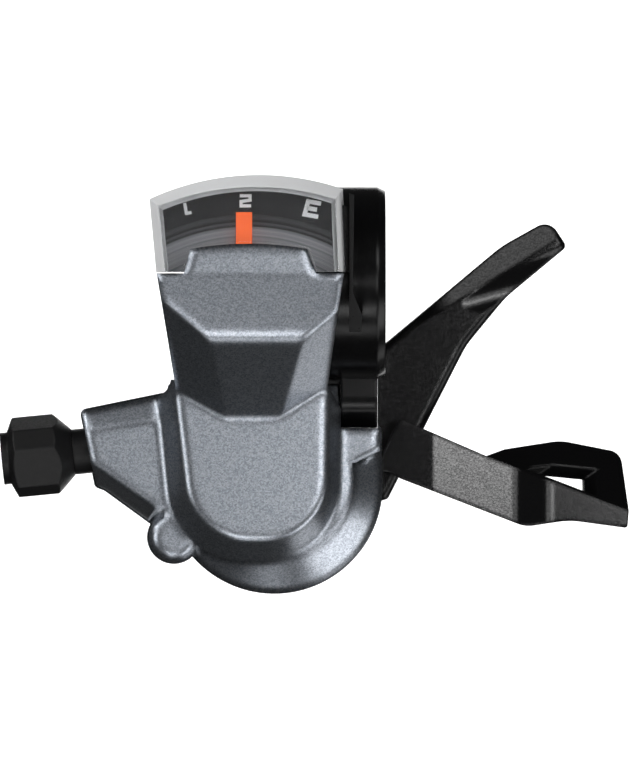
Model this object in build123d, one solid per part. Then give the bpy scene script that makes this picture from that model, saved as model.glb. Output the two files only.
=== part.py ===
from build123d import *
import math
import os

# Trigger gear shifter for the left side of a handlebar, with a three-gear display.
# The origin is the centre of the handlebar clamp's bore: X runs along the bar towards the grip,
# Y points at the rider and Z points up, along the main pivot. All sizes are in millimetres.

# Handlebar clamp
BAR_R = 11.1
CLAMP_WALL = 3.3
CLAMP_WIDTH = 12.4
CLAMP_SLIT = 1.6
CLAMP_SLIT_Y = 3.0
LUG_THICK = 5.4
LUG_DROP = 9.5
CLAMP_BOLT_R = 2.5
CLAMP_HEAD_R = 4.2
CLAMP_HEAD_LENGTH = 4.0
CLAMP_NUT_FLATS = 8.0
CLAMP_NUT_THICK = 3.4
HEX_KEY = 4.0

# Main pivot and the levels of the mechanism
PIVOT_X = -10.5
CABLE_Z = -3.5
CABLE_SLOPE = 5.5
DRUM_WIDTH = 3.4
PLATE_THICK = 1.5
RATCHET_THICK = 1.4
CAM_THICK = 1.1
WASHER_THICK = 0.4

# Clearances
RUN = 0.05
SLIDE = 0.1
GAP = 0.3

# Top cover
WALL = 1.5
FOOT_RISE = 6.0
TONGUE_RISE = 4.0
DISPLAY_RISE = 4.8
HEAD_FALL = 1.6
CRESCENT_INSET = 4.05
CRESCENT_STEP = 0.9
CONE_SLOPE = 0.65
LOBE_R = 3.7
LOBE_FLAT_R = 2.7
LOBE_FALL = 1.4
JOIN_R = 3.0
LIP = 0.35
LIP_HEIGHT = 0.7

# Display
DIAL_THICK = 0.5
BAND_RISE = 0.3
LENS_WALL = 0.6
HOUSING_FLOOR = 0.8
NEEDLE_SIDE = -3.8
NEEDLE_BACK = 9.9
NEEDLE_SWING = 17.0
NEEDLE_WIDTH = 2.4
NEEDLE_TIP_R = 30.9
NEEDLE_THICK = 0.6
CRANK_R = 5.5
CRANK_LEAD = 37.0
FOLLOWER_R = 0.7

# Winder, pawls and shaft
GEAR_STEP = 42.0
SHAFT_R = 3.0
HUB_WALL = 1.1
SPRING_WIRE = 0.7
RECESS_WALL = 1.0
DRUM_INSET = 0.6
GROOVE_DEPTH = 2.1
GROOVE_WIDTH = 1.6
NIPPLE_R = 2.05
TOOTH_DEPTH = 1.6
TOOTH_RAMP = 24.0
NOTCH_COUNT = 7
PAWL_STAND = 2.5
PAWL_PIN_R = 1.1
PAWL_BOSS_R = 1.7
PAWL_TIP_R = 0.35
PAWL_REACH = 25.0
PAWL_LIFT = 0.75
NOTCH_LEAD = 4.0

# Levers
RELEASE_INSET = 3.74
RELEASE_ANGLE = 25.1
RELEASE_THICK = 2.0
RELEASE_PIN_R = 1.6
RELEASE_BOSS_R = 3.6
RELEASE_REACH = 53.5
KINK_FALL = 0.8
ARM_DROP = 3.0
BEND_R = 5.0
WINDOW = [(6.4, 0.3), (17.8, 0.3), (17.3, 2.0), (16.5, 4.1), (9.9, 2.3), (7.2, 0.95)]
APRON_FALL = 0.9
APRON_THICK = 2.4
APRON_REACH = 7.4
LEVER_THICK = 3.4
LEVER_HUB_R = 7.5
BUSH_WALL = 1.0

# Barrel adjuster
KNOB_R = 6.05
KNOB_LENGTH = 9.6
KNOB_FLAT = 5.3
KNOB_CORNER = 5.87
KNOB_END = 1.0
COLLAR_R = 3.9
COLLAR_LENGTH = 1.1
STEM_R = 3.4
CASING_R = 2.6
CASING_DEPTH = 8.0
CABLE_HOLE_R = 1.0
CABLE_R = 0.6

os.makedirs("parts", exist_ok=True)

# Levels and radii that follow from the sizes above
UP = (0, 0, 1)
CLAMP_R = BAR_R + CLAMP_WALL
HUB_R = SHAFT_R + HUB_WALL
SPIGOT_R = HUB_R + GAP
RECESS_R = SPIGOT_R + SPRING_WIRE + 4 * GAP
GROOVE_R = RECESS_R + RECESS_WALL
DRUM_R = GROOVE_R + GROOVE_DEPTH
RATCHET_R = DRUM_R + DRUM_INSET
PAWL_PIN_RADIUS = RATCHET_R + PAWL_STAND
CAVITY_R = PAWL_PIN_RADIUS + PAWL_BOSS_R + GAP
BODY_R = CAVITY_R + WALL
PIVOT_Y = -CLAMP_R - BODY_R
FOOT_Z = CABLE_Z + FOOT_RISE
TONGUE_Z = FOOT_Z + TONGUE_RISE
DRUM_TOP = CABLE_Z + DRUM_WIDTH / 2
DRUM_LOW = CABLE_Z - DRUM_WIDTH / 2
CAM_TOP = DRUM_TOP + CAM_THICK
RATCHET_LOW = DRUM_LOW - RATCHET_THICK
PLATE_TOP = RATCHET_LOW - WASHER_THICK
PLATE_LOW = PLATE_TOP - PLATE_THICK
SKIRT_Z = PLATE_LOW
RELEASE_TOP = PLATE_LOW - WASHER_THICK
RELEASE_LOW = RELEASE_TOP - RELEASE_THICK
LEVER_HUB_TOP = RELEASE_LOW - WASHER_THICK
APRON_DEEP = APRON_THICK * math.sqrt(1 + APRON_FALL**2)
LEVER_TOP = RELEASE_TOP - ARM_DROP - APRON_REACH * APRON_FALL - APRON_DEEP - 2 * GAP
LEVER_LOW = LEVER_TOP - LEVER_THICK
SEAT_Z = CLAMP_R + WASHER_THICK
FLOOR_Z = SEAT_Z + HOUSING_FLOOR
DIAL_Z = FLOOR_Z + DIAL_THICK
NEEDLE_Z = DIAL_Z + BAND_RISE + GAP
HEAD_Z = SEAT_Z + DISPLAY_RISE
CRESCENT_R = BODY_R - CRESCENT_INSET
RELEASE_X = PIVOT_X + (BODY_R - RELEASE_INSET) * math.cos(math.radians(RELEASE_ANGLE))
RELEASE_Y = PIVOT_Y + (BODY_R - RELEASE_INSET) * math.sin(math.radians(RELEASE_ANGLE))
NEEDLE_PIVOT_X = PIVOT_X + NEEDLE_SIDE
NEEDLE_PIVOT_Y = PIVOT_Y + NEEDLE_BACK
PIVOT = Pos(PIVOT_X, PIVOT_Y, 0)
RELEASE = Pos(RELEASE_X, RELEASE_Y, 0)
NEEDLE_PIVOT = Pos(NEEDLE_PIVOT_X, NEEDLE_PIVOT_Y, 0)


def outline(points, radii):
    """Face inside straight sides through the points, each corner rounded by its own radius."""
    return make_face(FilletPolyline(*points, radius=radii, close=True))


def prism(face, low, high):
    """Upright solid over a face, between two levels."""
    return extrude(Pos(0, 0, low) * face, high - low, dir=UP)


def disc(radius, low, high):
    """Upright round solid about the local origin, between two levels."""
    return prism(Circle(radius), low, high)


def ring(outer, inner, low, high):
    """Upright tube about the local origin, between two levels."""
    return disc(outer, low, high) - disc(inner, low, high)


def inset(points, wall):
    """Corners of an anticlockwise outline moved inwards by a wall."""
    moved = []
    for before, here, after in zip(points[-1:] + points[:-1], points, points[1:] + points[:1]):
        first = Vector(here) - Vector(before)
        second = Vector(after) - Vector(here)
        first_in = Vector(-first.Y, first.X) / first.length
        second_in = Vector(-second.Y, second.X) / second.length
        both = (first_in + second_in).normalized()
        step = both * (wall / both.dot(first_in))
        moved.append((here[0] + step.X, here[1] + step.Y))
    return moved


def polar(radius, angle):
    """Place on a circle about the main pivot."""
    turn = math.radians(angle)
    return Pos(PIVOT_X + radius * math.cos(turn), PIVOT_Y + radius * math.sin(turn), 0)


def placed(points):
    """Plan points measured from the main pivot, moved to their place."""
    return [(PIVOT_X + x, PIVOT_Y + y) for x, y in points]


def box(x_span, y_span, z_span):
    """Upright block between pairs of limits."""
    size = [span[1] - span[0] for span in (x_span, y_span, z_span)]
    centre = [(span[0] + span[1]) / 2 for span in (x_span, y_span, z_span)]
    return Pos(*centre) * Box(*size)


def save(shape, name):
    """Write one piece under its own name."""
    export_step(shape, f"parts/{name}.step")


# Top cover: plan of the body, with the left foot, the round skirt and the lobe
FOOT_TOP_LEFT, FOOT_LOW_LEFT, FOOT_NOTCH = placed([(-28.9, 11.1), (-27.4, 3.4), (-17.7, -3.3)])
WALL_BACK_Y = -CLAMP_R - 2 * WALL / 3
FOOT_JOIN_Y = WALL_BACK_Y - 1.2
HUMP_Y = -CLAMP_R - 2.6
NECK_LEFT_X = -26.2
BRIDGE_LEFT_X = -0.6
BRIDGE_RIGHT_X = 5.1
BRIDGE_FRONT_Y = HUMP_Y - 4.8
BODY_RIGHT_X = PIVOT_X + BODY_R
BODY_FRONT_Y = PIVOT_Y - BODY_R
LOBE = Pos(*placed([(-15.1, -7.8)])[0], 0)
BODY_POINTS = [
    FOOT_TOP_LEFT,
    *placed([(-26.7, 0.0), (-25.4, -0.5), (-18.1, -5.8), (0.0, -5.8)]),
    (BODY_RIGHT_X, PIVOT_Y),
    (BRIDGE_RIGHT_X + 2 * SLIDE, BRIDGE_FRONT_Y),
    (BRIDGE_LEFT_X, BRIDGE_FRONT_Y),
    (BRIDGE_LEFT_X - 0.4, WALL_BACK_Y),
    (NECK_LEFT_X, WALL_BACK_Y),
    (NECK_LEFT_X, FOOT_JOIN_Y),
]
BODY_RADII = [0.6, 0.4, 0.4, 0.0, 0.0, 0.0, 0.3, 0.3, 0.3, 0.3, 0.0]
skirt_round = Circle(BODY_R) - Pos(0, BODY_R) * Rectangle(4 * BODY_R, 2 * BODY_R)
body_face = outline(BODY_POINTS, BODY_RADII) + LOBE * Circle(LOBE_R) + PIVOT * skirt_round

# Tongue: a raised flat with drafted walls, round at the front
TONGUE_TOP = placed([(-14.8, 15.9), (-11.9, -8.0), (7.6, -8.0), (8.1, 15.9)])
TONGUE_FOOT = placed([(-17.7, 15.9), (-15.0, -11.3), (9.7, -11.3), (10.1, 15.9)])
TONGUE_TOP_RADII = [0.0, 9.3, 9.4, 0.0]
TONGUE_FOOT_RADII = [0.0, 11.6, 11.6, 0.0]

# Neck and head: three facets lean from the tongue up to the display face
NECK_LOW = placed([(-14.9, 16.9), (-14.6, 14.2), (-6.9, 10.1), (0.9, 10.1), (8.0, 14.5), (8.3, 16.9)])
NECK_HIGH = [(-27.9, 1.3), (-27.05, -3.7), (-20.4, -8.4), (-6.0, -8.4), (-1.0, -4.8), (0.0, 1.3)]
HEAD_BACK_Y = NECK_HIGH[0][1]
HEAD_FRONT_Y = NECK_HIGH[2][1]
HEAD_LOW_Z = HEAD_Z - HEAD_FALL
TAB_CORNERS = [(-23.8, HEAD_BACK_Y), (-22.9, 4.9), (-5.5, 4.9), (-4.2, HEAD_BACK_Y)]
TAB_CREST = (-14.3, 5.7)
BROW_R = 4.0
TONGUE_EDGE_R = 0.6


def tab_face(grow):
    """Plan of the tab under the display, grown by a clearance on its free sides."""
    left, top_left, top_right, right = TAB_CORNERS
    high_left = (top_left[0] - grow, top_left[1] + grow)
    high_right = (top_right[0] + grow, top_right[1] + grow)
    crest = (TAB_CREST[0], TAB_CREST[1] + grow)
    low_left = (left[0] - grow, left[1])
    low_right = (right[0] + grow, right[1])
    top = ThreePointArc(high_left, crest, high_right)
    return make_face([top, Polyline(high_right, low_right, low_left, high_left)])


def slope_cut(start, end, width, fall, level):
    """Wedge that slopes a level face down, away from the line from start to end on its right side."""
    along = (Vector(end) - Vector(start)).normalized()
    side = Vector(along.Y, -along.X)
    plane = Plane(origin=(start[0], start[1], level), x_dir=side, z_dir=-along)
    far = 3 * width
    profile = Polygon((0, 0), (far, -3 * fall), (far, width), (0, width), align=None)
    return extrude(plane * profile, (Vector(end) - Vector(start)).length, dir=along)


def cone_cut(level, step_r):
    """Ring that leaves a conical skirt round the pivot, outside the raised crescent."""
    low = level - CRESCENT_STEP
    reach = BODY_R + 3
    fall = CONE_SLOPE * (reach - CRESCENT_R)
    rise = CONE_SLOPE * WALL * 2
    inner = CRESCENT_R - WALL * 2
    high = level + WALL
    profile = Polygon((inner, low + rise), (reach, low - fall), (reach, high), (inner, high), align=None)
    cut = PIVOT * revolve(Plane.XZ * profile, Axis.Z)
    keep = Pos(PIVOT_X, PIVOT_Y + CRESCENT_STEP, 0) * disc(step_r, low - fall, high)
    wide = 2 * BODY_R
    step = placed([(-wide, 3.5), (12.3, 3.5), (16.5, 5.5), (wide, 5.5), (wide, wide), (-wide, wide)])
    keep += prism(make_face(Polyline(*step, close=True)), low - fall, high)
    keep += LOBE * disc(LOBE_R, low - fall, high)
    keep += box((PIVOT_X - 4 * BODY_R, PIVOT_X - CRESCENT_R), (BODY_FRONT_Y, WALL_BACK_Y), (low - fall, high))
    return cut - keep


def neck_solid(wall, open_back):
    """Neck and head, or the hollow inside them a wall further in and open towards the bar."""
    low = inset(NECK_LOW, wall)
    high = inset(NECK_HIGH, wall)
    for points in (low, high):
        points[0] = (points[0][0], points[0][1] + open_back)
        points[-1] = (points[-1][0], points[-1][1] + open_back)
    low_z = TONGUE_Z - wall
    high_z = HEAD_LOW_Z - wall

    def section(level):
        share = (level - low_z) / (high_z - low_z)
        corners = [(p[0] + (q[0] - p[0]) * share, p[1] + (q[1] - p[1]) * share) for p, q in zip(low, high)]
        return Pos(0, 0, level) * make_face(Polyline(*corners, close=True))

    neck = loft([section(FOOT_Z), section(HEAD_Z + WALL)], ruled=True)
    back_y = HEAD_BACK_Y + open_back
    pitch = HEAD_FALL / (HEAD_BACK_Y - HEAD_FRONT_Y)
    top = HEAD_Z - wall
    front_y = BODY_FRONT_Y
    side = Polygon(
        (front_y, FOOT_Z),
        (back_y, FOOT_Z),
        (back_y, top + pitch * open_back),
        (front_y, top - pitch * (HEAD_BACK_Y - front_y)),
        align=None,
    )
    return neck & extrude(Plane.YZ * side, 4 * BODY_R, both=True)


def tongue_solid(wall):
    """Raised tongue with drafted walls, or the hollow inside it."""
    top_radii = [max(r - wall, 0) for r in TONGUE_TOP_RADII]
    foot_radii = [max(r - wall, 0) for r in TONGUE_FOOT_RADII]
    top = Pos(0, 0, TONGUE_Z - wall) * outline(inset(TONGUE_TOP, wall), top_radii)
    foot = Pos(0, 0, FOOT_Z - wall) * outline(inset(TONGUE_FOOT, wall), foot_radii)
    return loft([foot, top], ruled=True)


CABLE_TANGENT_R = GROOVE_R + CABLE_R
cable_turn = math.radians(CABLE_SLOPE)
cable_out = Vector(-math.cos(cable_turn), -math.sin(cable_turn), 0)
cable_start = Vector(
    PIVOT_X - CABLE_TANGENT_R * math.sin(cable_turn),
    PIVOT_Y + CABLE_TANGENT_R * math.cos(cable_turn),
    CABLE_Z,
)
SOCKET_FACE = 27.6
CABLE = Plane(origin=cable_start, x_dir=(0, 0, 1), z_dir=cable_out)


def along_cable(radius, start, end):
    """Round solid on the cable line, between two distances out from the drum."""
    return CABLE * disc(radius, start, end)


body = prism(body_face, SKIRT_Z, FOOT_Z)
body -= slope_cut(FOOT_LOW_LEFT, FOOT_NOTCH, 2.5, 6.0, FOOT_Z)
body -= slope_cut(*placed([(-13.5, 10.3), (-30.5, 7.75)]), 3.0, 1.2, FOOT_Z)
body -= cone_cut(FOOT_Z, CRESCENT_R)
lobe_side = Polygon(
    (LOBE_FLAT_R, FOOT_Z),
    (LOBE_R + LIP, FOOT_Z - LOBE_FALL),
    (LOBE_R + 2 * LIP, FOOT_Z - LOBE_FALL),
    (LOBE_R + 2 * LIP, FOOT_Z),
    align=None,
)
lobe_cut = revolve(Plane.XZ * lobe_side, Axis.Z)
lobe_cut -= box((-LOBE_FLAT_R / 2, 2 * LOBE_R), (0, 2 * LOBE_R), (FOOT_Z - 2 * LOBE_FALL, FOOT_Z))
body -= LOBE * lobe_cut
tongue = tongue_solid(0)
rim = tongue.edges().filter_by_position(Axis.Z, TONGUE_Z - 0.01, TONGUE_Z + 0.01)
rim = rim.filter_by_position(Axis.Y, BODY_FRONT_Y, TONGUE_TOP[0][1] - 0.01)
tongue = fillet(rim, TONGUE_EDGE_R)
neck = neck_solid(0, 0)
head_edges = neck.edges().filter_by_position(Axis.Y, HEAD_FRONT_Y - 0.05, HEAD_FRONT_Y + 0.05)
neck = fillet(head_edges, BROW_R)
tongue_foot = prism(outline(TONGUE_FOOT, TONGUE_FOOT_RADII), FOOT_Z - CRESCENT_STEP - TONGUE_RISE, FOOT_Z)
body += tongue + (tongue_foot & prism(body_face, SKIRT_Z, FOOT_Z))
foot_pitch = (FOOT_JOIN_Y - FOOT_TOP_LEFT[1]) / (NECK_LEFT_X - FOOT_TOP_LEFT[0])
join_y = FOOT_JOIN_Y + JOIN_R * (math.sqrt(1 + foot_pitch**2) - foot_pitch)
body -= Pos(NECK_LEFT_X - JOIN_R + GAP, join_y) * disc(JOIN_R, SKIRT_Z, TONGUE_Z)
right_corner = placed([(7.6, 15.95), (10.2, 11.2), (12.0, 15.95)])
body -= prism(make_face(Polyline(*right_corner, close=True)), FOOT_Z, TONGUE_Z)
shell = body + neck
shell += prism(tab_face(0), HEAD_Z - WALL, HEAD_Z)
shell += prism(offset(body_face, LIP), SKIRT_Z, SKIRT_Z + LIP_HEIGHT)


# Inside of the cover: the winder's chamber, the hollow tongue, the neck's channel and the stem's socket
def chamber_plan(clear):
    """Plan of the winder's chamber, less a clearance all round."""
    width = BRIDGE_LEFT_X - NECK_LEFT_X - 2 * (WALL + clear)
    depth = WALL_BACK_Y - WALL - clear - PIVOT_Y
    room = Pos((NECK_LEFT_X + BRIDGE_LEFT_X) / 2, PIVOT_Y + depth / 2) * Rectangle(width, depth)
    corner = (BRIDGE_LEFT_X - WALL - clear, BRIDGE_FRONT_Y - WALL - clear)
    notch = Pos(*corner) * Rectangle(2 * BODY_R, 2 * BODY_R, align=Align.MIN)
    return PIVOT * Circle(CAVITY_R - clear) + room - notch


chamber = prism(chamber_plan(0), SKIRT_Z - 1, FOOT_Z - WALL)
chamber -= Pos(0, 0, -WALL) * cone_cut(FOOT_Z, CRESCENT_R - WALL)
shell -= chamber
shell -= tongue_solid(WALL)
shell -= neck_solid(WALL, 6)
shell -= along_cable(STEM_R + SLIDE, 0, SOCKET_FACE + 5)

# Base plate: fills the cover's mouth and reaches out under the bracket's web
REACH_BACK_Y = -CLAMP_R + 1.0
REACH_LEFT_X = BRIDGE_LEFT_X + SLIDE
reach_width = BRIDGE_RIGHT_X - REACH_LEFT_X
reach_depth = REACH_BACK_Y - BRIDGE_FRONT_Y + 2 * WALL
reach_centre = Pos(REACH_LEFT_X + reach_width / 2, REACH_BACK_Y - reach_depth / 2)
reach_face = reach_centre * Rectangle(reach_width, reach_depth)
plate_face = chamber_plan(SLIDE) + reach_face
shell -= prism(offset(reach_face, SLIDE), SKIRT_Z - 1, PLATE_TOP)
DRIVE_ANGLE = -60.0
STOP_ANGLE = 66.0
WINDOW_SPARE = 12.0
plate = prism(plate_face, PLATE_LOW, PLATE_TOP)
plate -= PIVOT * disc(SHAFT_R, PLATE_LOW, PLATE_TOP)
plate -= RELEASE * disc(RELEASE_PIN_R, PLATE_LOW, PLATE_TOP)
plate -= polar(PAWL_PIN_RADIUS, STOP_ANGLE) * disc(PAWL_PIN_R, PLATE_LOW, PLATE_TOP)


def sector(outer, inner, start, end, low, high):
    """Part of an upright tube about the main pivot, between two angles."""
    far = 2 * outer
    spread = [math.radians(start + (end - start) * share / 4) for share in range(5)]
    fan = [(0, 0)] + [(far * math.cos(turn), far * math.sin(turn)) for turn in spread]
    return PIVOT * (ring(outer, inner, low, high) & prism(make_face(Polyline(*fan, close=True)), low, high))


plate -= sector(
    PAWL_PIN_RADIUS + PAWL_PIN_R + GAP,
    PAWL_PIN_RADIUS - PAWL_PIN_R - GAP,
    DRIVE_ANGLE - GEAR_STEP - WINDOW_SPARE,
    DRIVE_ANGLE + WINDOW_SPARE,
    PLATE_LOW,
    PLATE_TOP,
)
SCREW_R = 1.2
SCREW_HEAD_R = 1.7
SCREW_HEAD = 1.3
SCREW_SLOT = 0.5
SEAT_SCREW_X = (REACH_LEFT_X + BRIDGE_RIGHT_X) / 2
SEAT_SCREW_YS = (HUMP_Y - 2.2, HUMP_Y + 2.2)
SEAT_SCREW_DEPTH = 5.0


def screw_up(x, y, seat_z, depth):
    """Round-headed screw that goes up into its thread, with its head under the seat."""
    shank = disc(SCREW_R, seat_z, seat_z + depth)
    head = disc(SCREW_HEAD_R, seat_z - SCREW_HEAD, seat_z)
    slot = prism(Rectangle(SCREW_SLOT, 2 * SCREW_R), seat_z - SCREW_HEAD, seat_z - SCREW_HEAD / 2)
    return Pos(x, y, 0) * (shank + head - slot)


seat_screws = [screw_up(SEAT_SCREW_X, y, PLATE_LOW, SEAT_SCREW_DEPTH) for y in SEAT_SCREW_YS]
BOSS_R = 1.9
BOSS_RADIUS = CAVITY_R - BOSS_R + GAP
BOSS_ANGLES = (-18.0, 205.0)
boss_spots = [polar(BOSS_RADIUS, angle).position for angle in BOSS_ANGLES]
boss_spots.append(Vector(NECK_LEFT_X + WALL + BOSS_R - GAP, WALL_BACK_Y - WALL - BOSS_R + GAP))
for spot in boss_spots:
    shell += Pos(spot.X, spot.Y, 0) * disc(BOSS_R, PLATE_TOP, CABLE_Z + BOSS_R)
cover_screws = [screw_up(spot.X, spot.Y, PLATE_LOW, SEAT_SCREW_DEPTH) for spot in boss_spots]
for screw in seat_screws + cover_screws:
    plate -= screw
for screw in cover_screws:
    shell -= screw
save(plate, "base_plate")
save(Compound(children=seat_screws), "seat_screws")
save(Compound(children=cover_screws), "cover_screws")

# Clamp bracket: ring round the bar, two lugs below it, the humped web and the display's seat
HUMP_R = 4.7
HUMP_Z = PLATE_TOP + HUMP_R - 0.9
LUG_FRONT = CLAMP_SLIT_Y - CLAMP_SLIT / 2 - LUG_THICK
LUG_BACK = CLAMP_SLIT_Y + CLAMP_SLIT / 2 + LUG_THICK
LUG_LOW = -CLAMP_R - LUG_DROP
SEAT_FRONT = HEAD_BACK_Y + 2 * SLIDE
SEAT_BACK = 9.0
BOLT_Z = -CLAMP_R - LUG_DROP / 2
HALF_WIDTH = CLAMP_WIDTH / 2


def along_bar(face, start, end):
    """Solid along the bar over a face drawn in Y and Z."""
    return extrude(Plane.YZ.offset(start) * face, end - start, dir=(1, 0, 0))


def along_bolt(face, start, end):
    """Solid along the clamp bolt over a face, between two places across the bar."""
    return extrude(Plane(origin=(0, start, BOLT_Z), x_dir=(1, 0, 0), z_dir=(0, 1, 0)) * face, end - start)


band_edge = 1.2
bracket = along_bar(Circle(CLAMP_R), -HALF_WIDTH, HALF_WIDTH)
bracket = chamfer(bracket.edges().filter_by(GeomType.CIRCLE), band_edge, band_edge / 2)
lug_face = outline(
    [(LUG_FRONT, -BAR_R), (LUG_FRONT, LUG_LOW), (LUG_BACK, LUG_LOW), (LUG_BACK, -BAR_R)],
    [0.0, 2.0, 2.0, 0.0],
)
bracket += along_bar(lug_face, -HALF_WIDTH + band_edge, HALF_WIDTH - band_edge)
bracket += box((-HALF_WIDTH + band_edge, 0), (SEAT_FRONT, SEAT_BACK), (BAR_R, SEAT_Z))
web_face = Pos(HUMP_Y, HUMP_Z) * Circle(HUMP_R)
web_face += Polygon(
    (HUMP_Y - HUMP_R, PLATE_TOP),
    (HUMP_Y - HUMP_R, HUMP_Z),
    (HUMP_Y, HUMP_Z + HUMP_R),
    (-BAR_R, HUMP_Z + HUMP_R),
    (-BAR_R, PLATE_TOP),
    align=None,
)
bracket += box((-HALF_WIDTH + band_edge, REACH_LEFT_X), (WALL_BACK_Y + SLIDE, -BAR_R), (PLATE_TOP, 0))
web = along_bar(web_face, REACH_LEFT_X, BRIDGE_RIGHT_X - SLIDE)
bracket += web & box((-BODY_R, BODY_R), (BRIDGE_FRONT_Y + SLIDE, 0), (PLATE_TOP, CLAMP_R))
bracket -= along_bar(Circle(BAR_R), -CLAMP_WIDTH, CLAMP_WIDTH)
slit_span = (CLAMP_SLIT_Y - CLAMP_SLIT / 2, CLAMP_SLIT_Y + CLAMP_SLIT / 2)
bracket -= box((-CLAMP_WIDTH, CLAMP_WIDTH), slit_span, (2 * LUG_LOW, 0))
bracket -= along_bolt(Circle(CLAMP_BOLT_R + SLIDE), LUG_FRONT, LUG_BACK)
nut_hex = RegularPolygon(CLAMP_NUT_FLATS / 2, 6, major_radius=False)
nut_pocket = RegularPolygon(CLAMP_NUT_FLATS / 2 + SLIDE, 6, major_radius=False)
bracket -= along_bolt(nut_pocket, LUG_FRONT, LUG_FRONT + CLAMP_NUT_THICK)
for screw in seat_screws:
    bracket -= screw

nut = along_bolt(nut_hex - Circle(CLAMP_BOLT_R), LUG_FRONT, LUG_FRONT + CLAMP_NUT_THICK)
save(nut, "clamp_nut")
bolt = along_bolt(Circle(CLAMP_BOLT_R), LUG_FRONT - 1, LUG_BACK)
bolt += along_bolt(Circle(CLAMP_HEAD_R), LUG_BACK, LUG_BACK + CLAMP_HEAD_LENGTH)
key_face = RegularPolygon(HEX_KEY / 2, 6, major_radius=False)
bolt -= along_bolt(key_face, LUG_BACK + CLAMP_HEAD_LENGTH / 3, LUG_BACK + CLAMP_HEAD_LENGTH)
save(bolt, "clamp_bolt")

# Main shaft: riveted in the base plate, with a clip above the winder and a thread below the lever
NUT_THICK = 2.4
NUT_FLATS = 8.0
THREAD_R = 2.5
CLIP_THICK = 0.5
CLIP_R = 4.4
SHAFT_TOP = CAM_TOP + CLIP_THICK + GAP
NUT_LOW = LEVER_LOW - WASHER_THICK - NUT_THICK
shaft = disc(SHAFT_R, LEVER_LOW - WASHER_THICK, SHAFT_TOP) + disc(THREAD_R, NUT_LOW - GAP, LEVER_LOW)
shaft -= ring(SHAFT_R, SHAFT_R - CLIP_THICK, CAM_TOP + RUN, CAM_TOP + RUN + CLIP_THICK)
save(PIVOT * shaft, "main_shaft")
clip = ring(CLIP_R, SHAFT_R - CLIP_THICK, CAM_TOP + RUN, CAM_TOP + RUN + CLIP_THICK)
clip -= prism(Pos(CLIP_R, 0) * Rectangle(2 * CLIP_R, SHAFT_R), CAM_TOP, SHAFT_TOP)
save(PIVOT * clip, "shaft_clip")
save(PIVOT * ring(HUB_R + GAP, SHAFT_R + RUN, PLATE_TOP, RATCHET_LOW), "winder_washer")
lever_washer = ring(LEVER_HUB_R - GAP, SHAFT_R + RUN, LEVER_LOW - WASHER_THICK, LEVER_LOW - RUN)
save(PIVOT * lever_washer, "lever_washer")
nut_face = RegularPolygon(NUT_FLATS / 2, 6, major_radius=False) - Circle(THREAD_R)
save(PIVOT * prism(nut_face, NUT_LOW, LEVER_LOW - WASHER_THICK), "shaft_nut")

# Winder: cable drum on the shaft, ratchet plate under it and display cam on top
RECESS_ROOF = 0.8
NIPPLE_ANGLE = 20.0
drum = ring(DRUM_R, SHAFT_R + RUN, DRUM_LOW, DRUM_TOP) + ring(SPIGOT_R, SHAFT_R + RUN, RATCHET_LOW, CAM_TOP)
drum -= ring(DRUM_R, GROOVE_R, CABLE_Z - GROOVE_WIDTH / 2, CABLE_Z + GROOVE_WIDTH / 2)
drum -= ring(RECESS_R, SPIGOT_R, DRUM_LOW, DRUM_TOP - RECESS_ROOF)
drum = PIVOT * drum
drum -= polar(DRUM_R - NIPPLE_R / 2, NIPPLE_ANGLE) * disc(NIPPLE_R, DRUM_LOW, DRUM_TOP)
save(drum, "cable_drum")


def turned(point, degrees):
    """Plan point turned anticlockwise about the main pivot."""
    turn = math.radians(degrees)
    dx = point[0] - PIVOT_X
    dy = point[1] - PIVOT_Y
    return (
        PIVOT_X + dx * math.cos(turn) - dy * math.sin(turn),
        PIVOT_Y + dx * math.sin(turn) + dy * math.cos(turn),
    )


def notch_face(angle):
    """Saw notch in the ratchet: a steep face at the angle, then a ramp back out to the rim."""
    steep = RATCHET_R - TOOTH_DEPTH
    ramp = [(steep + 2 * TOOTH_DEPTH * share, TOOTH_RAMP * share) for share in (0, 0.5, 1)]
    ring_points = [(RATCHET_R + TOOTH_DEPTH, 0)] + ramp
    corners = [polar(radius, angle + lead).position for radius, lead in ring_points]
    return make_face(Polyline(*[(corner.X, corner.Y) for corner in corners], close=True))


NOTCH_START = STOP_ANGLE - PAWL_REACH - NOTCH_LEAD
ratchet = PIVOT * ring(RATCHET_R, SPIGOT_R, RATCHET_LOW, DRUM_LOW)
for index in range(NOTCH_COUNT):
    ratchet -= prism(notch_face(NOTCH_START + GEAR_STEP * (1 - index)), RATCHET_LOW, DRUM_LOW)
save(ratchet, "ratchet_plate")

# The cam's slot is the follower's path seen from the turning winder
CAM_R = RATCHET_R
to_pivot = math.degrees(math.atan2(PIVOT_Y - NEEDLE_PIVOT_Y, PIVOT_X - NEEDLE_PIVOT_X))
CRANK_ANGLE = to_pivot - CRANK_LEAD
NEEDLE_RATIO = NEEDLE_SWING / GEAR_STEP
SLOT_SPARE = 10.0
SLOT_STEPS = 12


def follower_at(wind):
    """Where the follower stands on the winder when that has wound by some degrees."""
    turn = math.radians(CRANK_ANGLE - NEEDLE_RATIO * wind)
    point = (NEEDLE_PIVOT_X + CRANK_R * math.cos(turn), NEEDLE_PIVOT_Y + CRANK_R * math.sin(turn))
    return turned(point, wind)


def slot_side(half_width):
    """Points on one side of the follower's path, a half width away from it."""
    side = []
    for step in range(SLOT_STEPS + 1):
        wind = (GEAR_STEP + SLOT_SPARE) * (2 * step / SLOT_STEPS - 1)
        ahead = follower_at(wind + 1)
        behind = follower_at(wind - 1)
        along = Vector(ahead[0] - behind[0], ahead[1] - behind[1]).normalized()
        here = follower_at(wind)
        side.append((here[0] - along.Y * half_width, here[1] + along.X * half_width))
    return side


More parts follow.
